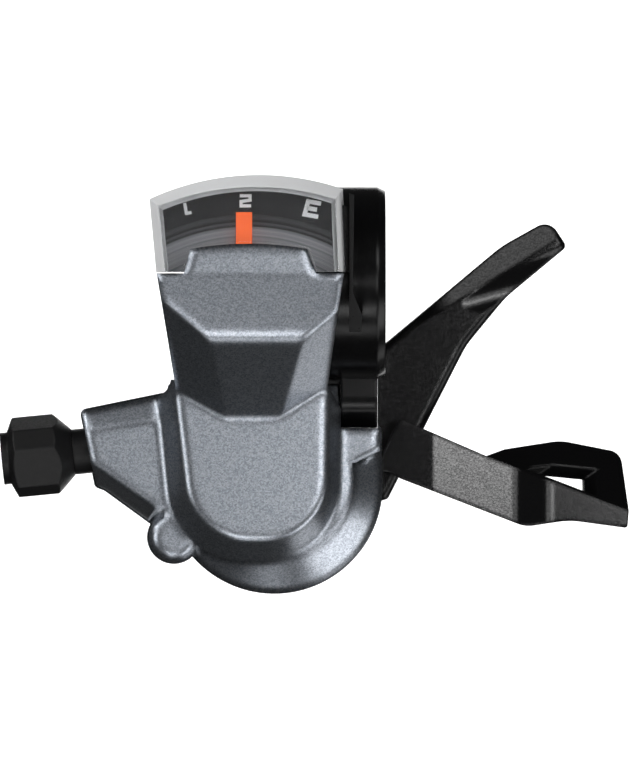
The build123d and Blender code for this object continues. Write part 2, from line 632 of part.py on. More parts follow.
half_slot = FOLLOWER_R + SLIDE + RUN
near_side = slot_side(half_slot)
far_side = slot_side(-half_slot)
slot = make_face([
    Spline(*near_side),
    Line(near_side[-1], far_side[-1]),
    Spline(*far_side),
    Line(far_side[0], near_side[0]),
])
cam = PIVOT * ring(CAM_R, SPIGOT_R, DRUM_TOP, CAM_TOP) - prism(slot, DRUM_TOP, CAM_TOP)
save(cam, "display_cam")


def coil(radius, wire, low, turns):
    """Close-wound spring of square wire about the local origin."""
    pitch = wire * 1.12
    path = Helix(pitch, pitch * turns, radius)
    section = Plane(origin=(radius, 0, 0), x_dir=(1, 0, 0), z_dir=(0, 1, 0)) * Rectangle(wire, wire)
    return Pos(0, 0, low + wire / 2) * sweep(section, path, is_frenet=True)


winder_spring = PIVOT * coil((RECESS_R + SPIGOT_R) / 2, SPRING_WIRE, DRUM_LOW + RUN, 2)
save(winder_spring, "winder_spring")

# Pawls: one on the base plate holds the winder, one on the main lever drives it
PAWL_LOW = RATCHET_LOW
PAWL_HIGH = DRUM_LOW
tip_r = RATCHET_R + PAWL_LIFT


def pawl(pin_angle):
    """Pawl drawn just clear of the ratchet, with its tip clockwise of its pin."""
    pin = polar(PAWL_PIN_RADIUS, pin_angle).position
    tip = polar(tip_r, pin_angle - PAWL_REACH).position
    along = Vector(tip.X - pin.X, tip.Y - pin.Y)
    side = Vector(-along.Y, along.X) / along.length
    heel = [pin + side * PAWL_BOSS_R, tip + side * PAWL_TIP_R, tip - side * PAWL_TIP_R, pin]
    face = make_face(Polyline(*[(corner.X, corner.Y) for corner in heel], close=True))
    face += Pos(pin.X, pin.Y) * Circle(PAWL_BOSS_R) + Pos(tip.X, tip.Y) * Circle(PAWL_TIP_R)
    return prism(face - Pos(pin.X, pin.Y) * Circle(PAWL_PIN_R + RUN), PAWL_LOW, PAWL_HIGH)


save(pawl(STOP_ANGLE), "stop_pawl")
save(pawl(DRIVE_ANGLE), "drive_pawl")
PIN_HEAD = 0.5
stop_pin = disc(PAWL_PIN_R, PLATE_LOW, PAWL_HIGH + PIN_HEAD)
stop_pin += disc(PAWL_BOSS_R - SLIDE, PAWL_HIGH + SLIDE, PAWL_HIGH + SLIDE + PIN_HEAD)
stop_pin += ring(PAWL_BOSS_R - SLIDE, PAWL_PIN_R, PLATE_TOP, PAWL_LOW - SLIDE)
save(polar(PAWL_PIN_RADIUS, STOP_ANGLE) * stop_pin, "stop_pawl_pin")

# Main lever: long thumb arm at the lowest level, a tall hub on its bush and an ear for the drive pawl
LEVER_POINTS = placed([
    (1.0, 8.3),
    (34.5, 36.2),
    (41.7, 40.2),
    (44.4, 36.1),
    (35.1, 28.4),
    (29.1, 21.1),
    (17.2, -2.2),
    (2.5, -6.5),
])
LEVER_RADII = [0.0, 18.0, 2.2, 0.9, 16.0, 12.0, 0.7, 0.0]
LEVER_EDGE_R = 1.1
DISH_R = 8.0
DISH_START, DISH_END = placed([(29.0, 27.2), (45.0, 32.0)])
DISH_SINK = 1.4
RIDGE_TIP, RIDGE_ROOT = placed([(48.1, 40.4), (15.0, 20.0)])
RIM_WIDTH = 3.6
RIM_FALL = 1.2
EAR_THICK = 2.0
EAR_R = 2.6
lever = prism(outline(LEVER_POINTS, LEVER_RADII), LEVER_LOW, LEVER_TOP)
lever = fillet(lever.edges().filter_by_position(Axis.Z, LEVER_TOP - RUN, LEVER_TOP + RUN), LEVER_EDGE_R)
lever -= slope_cut(RIDGE_TIP, RIDGE_ROOT, RIM_WIDTH, RIM_FALL, LEVER_TOP)
dish_start = Vector(DISH_START[0], DISH_START[1], LEVER_TOP + DISH_R)
dish_end = Vector(DISH_END[0], DISH_END[1], LEVER_TOP + DISH_R - DISH_SINK)
dish = dish_end - dish_start
lever -= Plane(origin=dish_start, z_dir=dish) * disc(DISH_R, 0, 1.3 * dish.length)
lever += PIVOT * disc(LEVER_HUB_R, LEVER_LOW, LEVER_HUB_TOP)
ear_pin = polar(PAWL_PIN_RADIUS, DRIVE_ANGLE)
ear_face = ear_pin * Circle(EAR_R)
ear_middle = polar(PAWL_PIN_RADIUS / 2, DRIVE_ANGLE) * Rot(0, 0, DRIVE_ANGLE)
ear_face += ear_middle * Rectangle(PAWL_PIN_RADIUS, 2 * EAR_R)
lever += prism(ear_face, LEVER_HUB_TOP - EAR_THICK, LEVER_HUB_TOP)
lever -= PIVOT * disc(SHAFT_R + BUSH_WALL, LEVER_LOW, LEVER_HUB_TOP)
lever -= ear_pin * disc(PAWL_PIN_R, LEVER_HUB_TOP - EAR_THICK, LEVER_HUB_TOP)
save(lever, "main_lever")
save(PIVOT * ring(SHAFT_R + BUSH_WALL, SHAFT_R + RUN, LEVER_LOW, LEVER_HUB_TOP), "lever_bush")
drive_pin = disc(PAWL_PIN_R, LEVER_HUB_TOP - EAR_THICK, PAWL_HIGH + PIN_HEAD)
drive_pin += disc(PAWL_BOSS_R - SLIDE, PAWL_HIGH + SLIDE, PAWL_HIGH + SLIDE + PIN_HEAD)
save(ear_pin * drive_pin, "drive_pawl_pin")
lever_wire = (PLATE_LOW - LEVER_HUB_TOP) / 4
lever_spring = coil(SHAFT_R + BUSH_WALL + lever_wire / 2, lever_wire, LEVER_HUB_TOP + SLIDE, 2)
save(PIVOT * lever_spring, "lever_spring")

# Release lever: arm under the base plate that bends down and folds into an open paddle
FOLD_START, FOLD_END = placed([(RELEASE_REACH - 21.5, 4.4), (RELEASE_REACH, -3.8)])
ARM_NOTCH = placed([(15.8, 3.9)])[0]
ARM_POINTS = [
    (RELEASE_X, RELEASE_Y - RELEASE_BOSS_R),
    *placed([(17.0, 2.1), (19.0, 1.0)]),
    *placed([(RELEASE_REACH - 15.6, -6.3), (RELEASE_REACH - 9.0, -5.3), (RELEASE_REACH - 0.2, -6.5)]),
    FOLD_END,
    FOLD_START,
    *placed([(18.8, 10.1)]),
    ARM_NOTCH,
    (RELEASE_X, ARM_NOTCH[1]),
]
ARM_RADII = [0.0, 3.0, 3.0, 5.0, 12.0, 0.5, 0.0, 0.0, 0.7, 0.7, 0.0]
KINK_X = PIVOT_X + 24.0
BEND_X = FOLD_START[0] + 4.6
STEP_X = BEND_X + 4.6
arm_far = PIVOT_X + 2 * RELEASE_REACH
arm_lines = [
    (PIVOT_X - BODY_R, RELEASE_TOP),
    (KINK_X, RELEASE_TOP),
    (BEND_X, RELEASE_TOP - KINK_FALL),
    (STEP_X, RELEASE_TOP - ARM_DROP + KINK_FALL / 2),
    (arm_far, RELEASE_TOP - ARM_DROP),
]
arm_high = FilletPolyline(*arm_lines, radius=[BEND_R / 2, BEND_R, BEND_R])
arm_under = Polyline(
    arm_lines[-1],
    (arm_far, RELEASE_TOP - ARM_DROP - RELEASE_THICK),
    (STEP_X, RELEASE_TOP - ARM_DROP - RELEASE_THICK),
    (BEND_X, RELEASE_LOW - KINK_FALL),
    (KINK_X, RELEASE_LOW),
    (PIVOT_X - BODY_R, RELEASE_LOW),
    arm_lines[0],
)
arm_side = Plane.XZ * make_face([arm_high, arm_under])
arm = prism(outline(ARM_POINTS, ARM_RADII), RELEASE_LOW - ARM_DROP, RELEASE_TOP)
arm &= extrude(arm_side, 4 * BODY_R, both=True)
arm += RELEASE * disc(RELEASE_BOSS_R, RELEASE_LOW, RELEASE_TOP)
fold = (Vector(FOLD_END) - Vector(FOLD_START)).normalized()
across = Vector(-fold.Y, fold.X)
paddle_top = RELEASE_TOP - ARM_DROP
far = 2 * APRON_REACH
under = ARM_DROP / APRON_FALL
slab = Polygon(
    (-under, under * APRON_FALL),
    (far, -far * APRON_FALL),
    (far, -far * APRON_FALL - APRON_DEEP),
    (-under, under * APRON_FALL - APRON_DEEP),
    align=None,
)
slab_plane = Plane(origin=(FOLD_START[0], FOLD_START[1], paddle_top), x_dir=across, z_dir=fold)
inner_start = Vector(FOLD_START) - across * under + fold * under
inner_end = Vector(FOLD_END) - across * RELEASE_THICK - fold * GAP
APRON_POINTS = [
    FOLD_START,
    (inner_start.X, inner_start.Y),
    (inner_end.X, inner_end.Y),
    FOLD_END,
    *placed([(RELEASE_REACH - 1.1, 4.9), (RELEASE_REACH - 10.2, 6.7), (RELEASE_REACH - 18.7, 5.4)]),
]
APRON_RADII = [0.0, 0.0, 0.0, 0.0, 2.2, 8.0, 3.0]
paddle_low = paddle_top - far * APRON_FALL - APRON_DEEP
apron = prism(outline(APRON_POINTS, APRON_RADII), paddle_low, RELEASE_TOP)
apron &= extrude(slab_plane * slab, 2 * RELEASE_REACH, both=True)
sky_z = RELEASE_TOP + WALL
arm_sky = Polyline(arm_lines[-1], (arm_far, sky_z), (PIVOT_X - BODY_R, sky_z), arm_lines[0])
apron -= extrude(Plane.XZ * make_face([arm_high, arm_sky]), 4 * BODY_R, both=True)
slope_down = across + Vector(0, 0, -APRON_FALL)
stretch = math.sqrt(1 + APRON_FALL**2)
sheet = Plane(origin=(FOLD_START[0], FOLD_START[1], paddle_top), x_dir=fold, z_dir=fold.cross(slope_down))
window = sheet * make_face(Polyline(*[(u, v * stretch) for u, v in WINDOW], close=True))
window_way = across * 2 + fold * 1.4 + Vector(0, 0, 1)
apron -= extrude(window, 2 * APRON_DEEP, dir=window_way, both=True)
arm += apron
arm -= RELEASE * disc(RELEASE_PIN_R + RUN, RELEASE_LOW, RELEASE_TOP)
save(arm, "release_lever")
release_pin = disc(RELEASE_PIN_R, RELEASE_LOW - SLIDE, PLATE_TOP)
release_pin += disc(RELEASE_BOSS_R - GAP, RELEASE_LOW - SLIDE - PIN_HEAD, RELEASE_LOW - SLIDE)
save(RELEASE * release_pin, "release_pin")
save(RELEASE * ring(RELEASE_BOSS_R, RELEASE_PIN_R + RUN, RELEASE_TOP + RUN, PLATE_LOW), "release_washer")

# Display: floor with a cheek beside the head, dial plate, needle and clear window
LENS_FRONT_Y = HEAD_BACK_Y + 2 * SLIDE
LENS_BASE = [(-28.0, LENS_FRONT_Y), (-29.0, 12.4), (-14.0, 15.95), (-0.2, 13.9), (0.4, LENS_FRONT_Y)]
LENS_TOP = [(-26.6, LENS_FRONT_Y), (-27.6, 11.3), (-14.0, 14.1), (-1.3, 12.3), (-0.8, LENS_FRONT_Y)]
CHEEK = [(0.75, 13.2), (1.5, 13.0), (1.3, -1.5), (2.7, -5.0), (2.5, -7.4), (0.75, -7.4)]
CHEEK_TOP = HEAD_Z - 1.6
INDICATOR_SPOTS = [(-3.2, 4.0), (-3.2, 7.6)]


def dome(points, wall, front):
    """Face of the display's plan: two sides, a bowed far edge and a straight edge at the head."""
    left, high_left, crest, high_right, right = points
    far_left = (high_left[0] + wall, high_left[1] - wall)
    far_crest = (crest[0], crest[1] - wall)
    far_right = (high_right[0] - wall, high_right[1] - wall)
    near_right = (right[0] - wall, front)
    near_left = (left[0] + wall, front)
    arc = ThreePointArc(far_left, far_crest, far_right)
    return make_face([arc, Polyline(far_right, near_right, near_left, far_left)])


cheek_face = make_face(Polyline(*CHEEK, close=True))
lens_lean = (LENS_BASE[2][1] - LENS_TOP[2][1]) / (HEAD_Z - LENS_WALL - SEAT_Z)
floor_inset = LENS_WALL + lens_lean * HOUSING_FLOOR + SLIDE
link_x = LENS_BASE[4][0] - floor_inset - WALL
link_y = LENS_BASE[3][1] - floor_inset - WALL
housing = prism(dome(LENS_BASE, floor_inset, LENS_FRONT_Y), SEAT_Z, FLOOR_Z)
housing += box((link_x, CHEEK[2][0]), (LENS_FRONT_Y, link_y), (SEAT_Z, FLOOR_Z))
housing += prism(cheek_face, SEAT_Z, CHEEK_TOP)
indicator_screws = []
for x, y in INDICATOR_SPOTS:
    screw = Pos(x, y, FLOOR_Z) * Rot(180, 0, 0) * screw_up(0, 0, SCREW_HEAD / 2, 3.2)
    screw &= box((x - 5, x + 5), (y - 5, y + 5), (0, FLOOR_Z))
    housing -= screw
    bracket -= screw
    indicator_screws.append(screw)
save(housing, "indicator_housing")
save(Compound(children=indicator_screws), "indicator_screws")
DIAL_BAND_R = 30.8
dial_inset = LENS_WALL + lens_lean * (DIAL_Z + BAND_RISE - SEAT_Z) + SLIDE
dial_face = dome(LENS_BASE, dial_inset, LENS_FRONT_Y)
dial = prism(dial_face, FLOOR_Z, DIAL_Z)
band_face = dial_face - NEEDLE_PIVOT * Circle(DIAL_BAND_R)
dial += prism(band_face, FLOOR_Z, DIAL_Z + BAND_RISE)
save(dial, "dial_plate")
lens_low = Pos(0, 0, SEAT_Z) * dome(LENS_BASE, 0, LENS_FRONT_Y)
lens_high = Pos(0, 0, HEAD_Z) * dome(LENS_TOP, 0, LENS_FRONT_Y)
lens = loft([lens_low, lens_high])
hollow_low = Pos(0, 0, SEAT_Z) * dome(LENS_BASE, LENS_WALL, HEAD_BACK_Y - WALL)
hollow_high = Pos(0, 0, HEAD_Z - LENS_WALL) * dome(LENS_TOP, LENS_WALL, HEAD_BACK_Y - WALL)
lens -= loft([hollow_low, hollow_high])
lens -= prism(tab_face(2 * SLIDE), HEAD_Z - WALL - SLIDE, HEAD_Z + WALL)
lens -= box((link_x - SLIDE, CHEEK[4][0]), (0, link_y + SLIDE), (SEAT_Z - WALL, FLOOR_Z + RUN))
save(lens, "indicator_lens")

# Needle: hub under the tongue, crank with its follower in the cam, arm up through the neck to the dial
NEEDLE_HUB_R = 2.2
NEEDLE_PIN_R = 0.9
NEEDLE_LOW = SHAFT_TOP + GAP
NEEDLE_HIGH = NEEDLE_LOW + 2.6
CEILING_Z = TONGUE_Z - WALL
ARM_SHIFT = -0.6
elbow_y = NEEDLE_PIVOT_Y + NEEDLE_HUB_R + 2 * GAP
tip_y = NEEDLE_PIVOT_Y + NEEDLE_TIP_R
needle_top = NEEDLE_Z + NEEDLE_THICK
arm_side = Polygon(
    (NEEDLE_PIVOT_Y, NEEDLE_HIGH - 0.8),
    (elbow_y, NEEDLE_HIGH - 0.8),
    (HEAD_FRONT_Y, NEEDLE_Z - 4.2),
    (HEAD_BACK_Y, NEEDLE_Z),
    (tip_y, NEEDLE_Z),
    (tip_y, needle_top),
    (HEAD_BACK_Y - GAP, needle_top),
    (HEAD_FRONT_Y - GAP, needle_top - 4.0),
    (elbow_y - GAP, NEEDLE_HIGH),
    (NEEDLE_PIVOT_Y, NEEDLE_HIGH),
    align=None,
)
arm_x = NEEDLE_PIVOT_X + ARM_SHIFT
needle = along_bar(arm_side, arm_x - NEEDLE_WIDTH / 2, arm_x + NEEDLE_WIDTH / 2)
needle += NEEDLE_PIVOT * disc(NEEDLE_HUB_R, NEEDLE_LOW, NEEDLE_HIGH)
crank_end = Pos(*follower_at(0), 0)
crank_mid = (NEEDLE_PIVOT.position + crank_end.position) / 2
crank_face = Pos(crank_mid.X, crank_mid.Y) * Rot(0, 0, CRANK_ANGLE) * Rectangle(CRANK_R, 2 * FOLLOWER_R + GAP)
crank_face += crank_end * Circle(FOLLOWER_R + GAP / 2)
needle += prism(crank_face, NEEDLE_LOW, NEEDLE_LOW + CAM_THICK)
needle += crank_end * disc(FOLLOWER_R, DRUM_TOP + SLIDE, NEEDLE_LOW + CAM_THICK)
needle -= NEEDLE_PIVOT * disc(NEEDLE_PIN_R + RUN, NEEDLE_LOW, NEEDLE_HIGH)
save(needle, "needle")
needle_pin = disc(NEEDLE_PIN_R, NEEDLE_LOW - SLIDE, CEILING_Z) + disc(
    NEEDLE_HUB_R - GAP, NEEDLE_LOW - SLIDE - PIN_HEAD, NEEDLE_LOW - SLIDE
)
needle_pin = NEEDLE_PIVOT * needle_pin
save(needle_pin, "needle_pin")
shell += NEEDLE_PIVOT * disc(NEEDLE_HUB_R, NEEDLE_HIGH + SLIDE, CEILING_Z + WALL / 2)
shell -= needle_pin
shell -= along_bar(Circle(CLAMP_R + GAP), -HALF_WIDTH - GAP, HALF_WIDTH + GAP)

# Barrel adjuster: threaded insert, spring, sleeve that slides out of the cover, and the knob with its stem
INSERT_START = 14.9
INSERT_END = 18.9
SLEEVE_START = 23.5
KNOB_START = SOCKET_FACE + 2.0
KNOB_CHAMFER = 2.7
KNOB_TURN = -19.5
ADJUST_THREAD_R = 2.5
knob_end = KNOB_START + KNOB_LENGTH
collar_end = knob_end + COLLAR_LENGTH
insert = along_cable(STEM_R + SLIDE, INSERT_START, INSERT_END)
insert -= along_cable(ADJUST_THREAD_R + RUN, INSERT_START, INSERT_END)
save(insert, "cable_insert")
sleeve = along_cable(STEM_R, SLEEVE_START, KNOB_START)
sleeve -= along_cable(ADJUST_THREAD_R + RUN, SLEEVE_START, KNOB_START)
save(sleeve, "adjuster_sleeve")
ADJUST_WIRE = 0.6
spring_turns = (SLEEVE_START - INSERT_END - 2 * ADJUST_WIRE) / (1.12 * ADJUST_WIRE)
spring_r = (STEM_R + ADJUST_THREAD_R) / 2
save(CABLE * coil(spring_r, ADJUST_WIRE, INSERT_END + SLIDE, spring_turns), "adjuster_spring")
knob_shape = Polygon(
    (0, KNOB_START),
    (STEM_R + SLIDE, KNOB_START),
    (KNOB_R + SLIDE, KNOB_START + KNOB_CHAMFER),
    (KNOB_R + SLIDE, knob_end - KNOB_END),
    (COLLAR_R + SLIDE, knob_end),
    (0, knob_end),
    align=None,
)
knob_face = Rectangle(2 * KNOB_FLAT, 2 * KNOB_FLAT)
knob_face &= Rot(0, 0, 45) * Rectangle(2 * KNOB_CORNER, 2 * KNOB_CORNER)
barrel = Rot(0, 0, KNOB_TURN) * prism(knob_face, KNOB_START, knob_end)
barrel &= revolve(Plane.XZ * knob_shape, Axis.Z)
barrel += disc(ADJUST_THREAD_R, INSERT_START + 1, knob_end) + disc(COLLAR_R, knob_end, collar_end)
barrel -= disc(CASING_R, collar_end - CASING_DEPTH, collar_end)
barrel -= disc(CABLE_HOLE_R, INSERT_START, collar_end)
save(CABLE * barrel, "barrel_adjuster")

save(bracket, "clamp_bracket")
save(shell, "top_cover")
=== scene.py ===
import math

import bpy
import numpy as np
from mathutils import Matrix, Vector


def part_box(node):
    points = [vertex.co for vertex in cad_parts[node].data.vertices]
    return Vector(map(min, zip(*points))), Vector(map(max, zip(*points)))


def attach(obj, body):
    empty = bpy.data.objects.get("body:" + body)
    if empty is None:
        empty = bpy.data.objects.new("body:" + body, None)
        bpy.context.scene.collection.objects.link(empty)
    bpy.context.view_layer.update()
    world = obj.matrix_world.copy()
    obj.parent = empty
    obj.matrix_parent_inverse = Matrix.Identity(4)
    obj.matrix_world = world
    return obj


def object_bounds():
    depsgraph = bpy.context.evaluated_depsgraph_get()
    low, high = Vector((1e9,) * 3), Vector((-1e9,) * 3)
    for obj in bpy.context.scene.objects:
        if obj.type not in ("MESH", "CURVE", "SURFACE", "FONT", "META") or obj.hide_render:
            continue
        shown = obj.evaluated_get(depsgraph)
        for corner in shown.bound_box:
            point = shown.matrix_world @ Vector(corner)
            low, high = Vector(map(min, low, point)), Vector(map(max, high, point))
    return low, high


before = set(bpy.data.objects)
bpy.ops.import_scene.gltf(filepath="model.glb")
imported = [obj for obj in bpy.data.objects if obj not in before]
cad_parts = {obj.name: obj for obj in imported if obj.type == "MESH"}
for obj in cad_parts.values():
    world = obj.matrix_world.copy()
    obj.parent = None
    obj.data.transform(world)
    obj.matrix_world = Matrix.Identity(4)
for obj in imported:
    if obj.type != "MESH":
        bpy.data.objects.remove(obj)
cad_low, cad_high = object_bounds()

# Clamp bracket: a cast aluminium ring, lugs and web in one piece, lacquered gloss black.
# The bar goes through the ring, and everything else is carried on it.
GRAIN_RANGE = (0.3, 0.7)
GRAIN_DETAIL = 3.0
GRAIN_EDGE_SAMPLES = 6


def new_finish(name, colour, roughness, metallic=0.0):
    """A new material of a plain colour, roughness and metal share: gives it, its node tree and its shader."""
    finish = bpy.data.materials.new(name)
    finish.use_nodes = True
    shader = finish.node_tree.nodes["Principled BSDF"]
    shader.inputs["Base Color"].default_value = (*colour, 1.0)
    shader.inputs["Roughness"].default_value = roughness
    shader.inputs["Metallic"].default_value = metallic
    return finish, finish.node_tree, shader


def cloud(tree, size, detail):
    """Cloudy noise of a given size in metres, laid on the piece's own coordinates."""
    place = tree.nodes.new("ShaderNodeTexCoord")
    noise = tree.nodes.new("ShaderNodeTexNoise")
    noise.inputs["Scale"].default_value = 1.0 / size
    noise.inputs["Detail"].default_value = detail
    tree.links.new(place.outputs["Object"], noise.inputs["Vector"])
    return noise.outputs["Fac"]


def remap(tree, value, source, target, interpolation="LINEAR"):
    """A value carried in proportion from a source range to a target range, and held at the ends."""
    span = tree.nodes.new("ShaderNodeMapRange")
    span.interpolation_type = interpolation
    span.inputs["From Min"].default_value = source[0]
    span.inputs["From Max"].default_value = source[1]
    span.inputs["To Min"].default_value = target[0]
    span.inputs["To Max"].default_value = target[1]
    tree.links.new(value, span.inputs["Value"])
    return span.outputs["Result"]


def raise_surface(tree, shader, height, distance, strength, edge, samples):
    """A bump by a height value, on normals that are softened round sharp edges by a small radius."""
    soft = tree.nodes.new("ShaderNodeBevel")
    soft.samples = samples
    soft.inputs["Radius"].default_value = edge
    bump = tree.nodes.new("ShaderNodeBump")
    bump.inputs["Strength"].default_value = strength
    bump.inputs["Distance"].default_value = distance
    tree.links.new(height, bump.inputs["Height"])
    tree.links.new(soft.outputs["Normal"], bump.inputs["Normal"])
    tree.links.new(bump.outputs["Normal"], shader.inputs["Normal"])


def add_grain(tree, shader, size, distance, strength, edge, roughness):
    """Fine grain: one noise of a given size, as a bump and as roughness that runs between two values."""
    noise = cloud(tree, size, GRAIN_DETAIL)
    raise_surface(tree, shader, noise, distance, strength, edge, GRAIN_EDGE_SAMPLES)
    tree.links.new(remap(tree, noise, GRAIN_RANGE, roughness), shader.inputs["Roughness"])


def dress(finish, *names):
    """Puts a finish on CAD nodes."""
    for name in names:
        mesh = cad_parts[name].data
        mesh.materials.clear()
        mesh.materials.append(finish)


black_lacquer, tree, shader = new_finish("black_lacquer", (0.003, 0.003, 0.0032), 0.2)
shader.inputs["Specular IOR Level"].default_value = 0.15
add_grain(tree, shader, 0.0016, 0.00004, 0.12, 0.0006, (0.17, 0.26))
dress(black_lacquer, "clamp_bracket")

# Clamp bolt, nut and the small screws: plated steel fasteners, turned and cold headed.
# They hold the clamp shut, the base plate to the bracket and the cover to the plate.
dark_plating, tree, shader = new_finish("dark_plating", (0.09, 0.09, 0.095), 0.35, 1.0)
add_grain(tree, shader, 0.0007, 0.00002, 0.2, 0.00015, (0.28, 0.42))
dress(dark_plating, "clamp_bolt", "clamp_nut", "seat_screws", "cover_screws", "indicator_screws", "shaft_nut",
      "lever_washer")

# Base plate, shaft, ratchet, pawls and pins: stamped or turned steel, zinc plated.
# They carry the winder and both levers, inside and under the cover.
zinc_plating, tree, shader = new_finish("zinc_plating", (0.5, 0.51, 0.52), 0.34, 1.0)
add_grain(tree, shader, 0.0009, 0.00002, 0.2, 0.00015, (0.28, 0.44))
dress(zinc_plating, "base_plate", "main_shaft", "ratchet_plate", "stop_pawl", "drive_pawl", "stop_pawl_pin",
      "drive_pawl_pin", "release_pin", "needle_pin", "shaft_clip")

# Drum, display cam, bush and washers: moulded nylon, off white and slightly waxy.
# The drum winds the cable, and the cam on top of it turns the needle.
nylon, tree, shader = new_finish("nylon", (0.62, 0.61, 0.57), 0.45)
add_grain(tree, shader, 0.0012, 0.00002, 0.15, 0.0002, (0.4, 0.52))
dress(nylon, "cable_drum", "display_cam", "lever_bush", "winder_washer", "release_washer")

# Springs: hardened steel wire, drawn bright and wound into coils.
# They turn the winder and the main lever back, and hold the adjuster's sleeve in its clicks.
spring_wire, tree, shader = new_finish("spring_wire", (0.42, 0.42, 0.43), 0.3, 1.0)
add_grain(tree, shader, 0.0004, 0.00001, 0.2, 0.0001, (0.24, 0.38))
dress(spring_wire, "winder_spring", "lever_spring", "adjuster_spring")

# Main lever and release lever: cast arms with a satin black coat and a fine, even grain.
# The thumb pushes the dished end of the one, and the open paddle of the other.
COAT_SPECK = 0.00025
COAT_SPECK_RANGE = (0.35, 0.65)
COAT_SHINE = (0.13, 0.28)
satin_black, tree, shader = new_finish("satin_black", (0.003, 0.003, 0.0032), 0.13)
add_grain(tree, shader, 0.0003, 0.00003, 0.08, 0.0007, (0.09, 0.16))
shine = remap(tree, cloud(tree, COAT_SPECK, 1.0), COAT_SPECK_RANGE, COAT_SHINE)
tree.links.new(shine, shader.inputs["Specular IOR Level"])
dress(satin_black, "main_lever", "release_lever")

# Top cover: one moulded shell with softly rounded edges, painted silver grey with fine
# metal flakes under a thin clear coat. Screws from below hold it to the base plate.
FLAKES_PER_METRE = 5500.0
FLAKE_DARK = (0.16, 0.175, 0.2, 1.0)
FLAKE_PALE = (0.31, 0.33, 0.36, 1.0)
FLAKE_TILT = 0.12
FLAKE_HEIGHT = 0.00003
COVER_EDGE_R = 0.002
COVER_EDGE_SAMPLES = 16
silver_paint, tree, shader = new_finish("silver_paint", (0.22, 0.24, 0.27), 0.29, 0.95)
place = tree.nodes.new("ShaderNodeTexCoord")
flakes = tree.nodes.new("ShaderNodeTexVoronoi")
flakes.inputs["Scale"].default_value = FLAKES_PER_METRE
tree.links.new(place.outputs["Object"], flakes.inputs["Vector"])
sparkle = tree.nodes.new("ShaderNodeSeparateColor")
tree.links.new(flakes.outputs["Color"], sparkle.inputs["Color"])
shade = tree.nodes.new("ShaderNodeValToRGB")
shade.color_ramp.elements[0].color = FLAKE_DARK
shade.color_ramp.elements[1].color = FLAKE_PALE
tree.links.new(sparkle.outputs["Red"], shade.inputs["Fac"])
tree.links.new(shade.outputs["Color"], shader.inputs["Base Color"])
raise_surface(
    tree, shader, sparkle.outputs["Green"], FLAKE_HEIGHT, FLAKE_TILT, COVER_EDGE_R, COVER_EDGE_SAMPLES)
shader.inputs["Coat Weight"].default_value = 0.12
shader.inputs["Coat Roughness"].default_value = 0.15
dress(silver_paint, "top_cover")

# Display floor and cheek: one black moulding beside and under the dial.
# Two screws hold it to the bracket's seat.
black_moulding, tree, shader = new_finish("black_moulding", (0.004, 0.004, 0.0042), 0.3)
shader.inputs["Specular IOR Level"].default_value = 0.12
add_grain(tree, shader, 0.0006, 0.00001, 0.1, 0.0002, (0.26, 0.36))
dress(black_moulding, "indicator_housing")

# Dial: a dark moulded plate. A raised band carries the numbers, and inside it
# fine rings round the needle's pivot are turned into the plate.
NEEDLE_PIVOT = (-0.0143, -0.0205)
BAND_R = 0.0308
BAND_STEP = 0.0001
RING_STEP = 0.00045
RING_DEPTH = 0.00005
RING_TONES = (0.55, 1.45)
DIAL_INNER_R = 0.020
DIAL_OUTER_R = 0.036
DIAL_TONES = [
    (0.0205, 0.32), (0.0286, 0.3), (0.0288, 0.02), (0.0290, 0.02), (0.0292, 0.08), (0.0294, 0.08),
    (0.0295, 0.015), (0.0297, 0.015), (0.0298, 0.06), (0.0305, 0.06), (0.0307, 0.003), (0.0308, 0.018),
    (0.0355, 0.018)]


def distance_round(tree, axis):
    """Distance of a point from an upright axis: the length of its X and Y, counted from the axis."""
    place = tree.nodes.new("ShaderNodeTexCoord")
    centre = tree.nodes.new("ShaderNodeMapping")
    centre.inputs["Location"].default_value = (-axis[0], -axis[1], 0.0)
    centre.inputs["Scale"].default_value = (1.0, 1.0, 0.0)
    tree.links.new(place.outputs["Object"], centre.inputs["Vector"])
    reach = tree.nodes.new("ShaderNodeVectorMath")
    reach.operation = "LENGTH"
    tree.links.new(centre.outputs["Vector"], reach.inputs[0])
    return reach.outputs["Value"]


def combine(tree, operation, first, second):
    """One value from two: a product, a comparison or the larger one. The second may be a plain number."""
    joined = tree.nodes.new("ShaderNodeMath")
    joined.operation = operation
    tree.links.new(first, joined.inputs[0])
    if isinstance(second, float):
        joined.inputs[1].default_value = second
    else:
        tree.links.new(second, joined.inputs[1])
    return joined.outputs["Value"]


dial_face, tree, shader = new_finish("dial_face", (0.02, 0.02, 0.022), 0.45)
shader.inputs["Specular IOR Level"].default_value = 0.1
reach = distance_round(tree, NEEDLE_PIVOT)
tones = tree.nodes.new("ShaderNodeValToRGB")
for radius, grey in DIAL_TONES:
    stop = tones.color_ramp.elements.new((radius - DIAL_INNER_R) / (DIAL_OUTER_R - DIAL_INNER_R))
    stop.color = (grey, grey, grey * 1.06, 1.0)
tones.color_ramp.elements.remove(tones.color_ramp.elements[0])
tones.color_ramp.elements.remove(tones.color_ramp.elements[-1])
tree.links.new(remap(tree, reach, (DIAL_INNER_R, DIAL_OUTER_R), (0.0, 1.0)), tones.inputs["Fac"])
rings = tree.nodes.new("ShaderNodeTexNoise")
rings.noise_dimensions = "1D"
rings.inputs["Scale"].default_value = 1.0 / RING_STEP
rings.inputs["Detail"].default_value = 4.0
tree.links.new(reach, rings.inputs["W"])
turned = tree.nodes.new("ShaderNodeMix")
turned.inputs["A"].default_value = 1.0
tree.links.new(combine(tree, "LESS_THAN", reach, BAND_R - BAND_STEP), turned.inputs["Factor"])
tree.links.new(remap(tree, rings.outputs["Fac"], (0.25, 0.75), RING_TONES), turned.inputs["B"])
shade = tree.nodes.new("ShaderNodeVectorMath")
shade.operation = "MULTIPLY"
